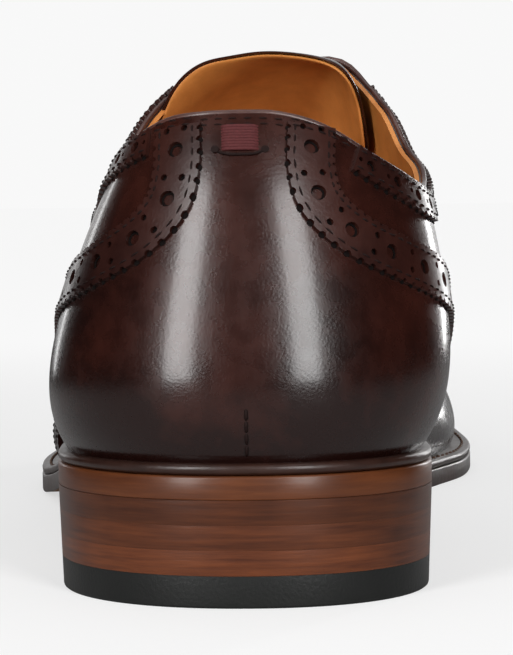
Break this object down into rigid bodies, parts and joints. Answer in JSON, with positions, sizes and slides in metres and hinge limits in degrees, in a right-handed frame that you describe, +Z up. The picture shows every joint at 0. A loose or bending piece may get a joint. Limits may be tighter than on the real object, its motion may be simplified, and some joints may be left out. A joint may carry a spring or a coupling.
{
  "type": "brogue shoe",
  "caption": "Left-foot leather lace-up dress shoe with perforated edgings, open collar, tongue, welted sole and stacked heel.",
  "frame": {"origin": "middle of the shoe's outer box, on the floor it stands on", "axes": "+Y from the heel to the toe, +Z up, +X towards the inner side of the foot"},
  "size_m": [0.1064, 0.3067, 0.1007],
  "materials": {
    "upper": "polished",
    "tongue": "satin",
    "insole": "satin",
    "welt": "polished edge",
    "outsole": "polished edge",
    "heel_lift_3": "polished edge",
    "heel_lift_2": "polished edge",
    "heel_lift_1": "polished edge",
    "top_piece": "matte",
    "heel_edging_outer": "polished",
    "heel_edging_inner": "polished",
    "collar_edging_outer": "polished",
    "collar_edging_inner": "polished",
    "wing_edging": "polished",
    "facing_outer": "polished",
    "facing_inner": "polished",
    "lace_bar_1": "waxed",
    "lace_bar_2": "waxed",
    "lace_bar_3": "waxed",
    "lace_bar_4": "waxed",
    "lace_bar_5": "waxed"
  },
  "bodies": {
    "root": {"upper": "upper", "tongue": "tongue", "insole": "insole", "welt": "welt", "outsole": "outsole", "heel_lift_3": "heel_lift_3", "heel_lift_2": "heel_lift_2", "heel_lift_1": "heel_lift_1", "top_piece": "top_piece", "heel_edging_outer": "heel_edging_outer", "heel_edging_inner": "heel_edging_inner", "collar_edging_outer": "collar_edging_outer", "collar_edging_inner": "collar_edging_inner", "wing_edging": "wing_edging", "facing_outer": "facing_outer", "facing_inner": "facing_inner", "lace_bar_1": "lace_bar_1", "lace_bar_2": "lace_bar_2", "lace_bar_3": "lace_bar_3", "lace_bar_4": "lace_bar_4", "lace_bar_5": "lace_bar_5"}
  },
  "joints": []
}
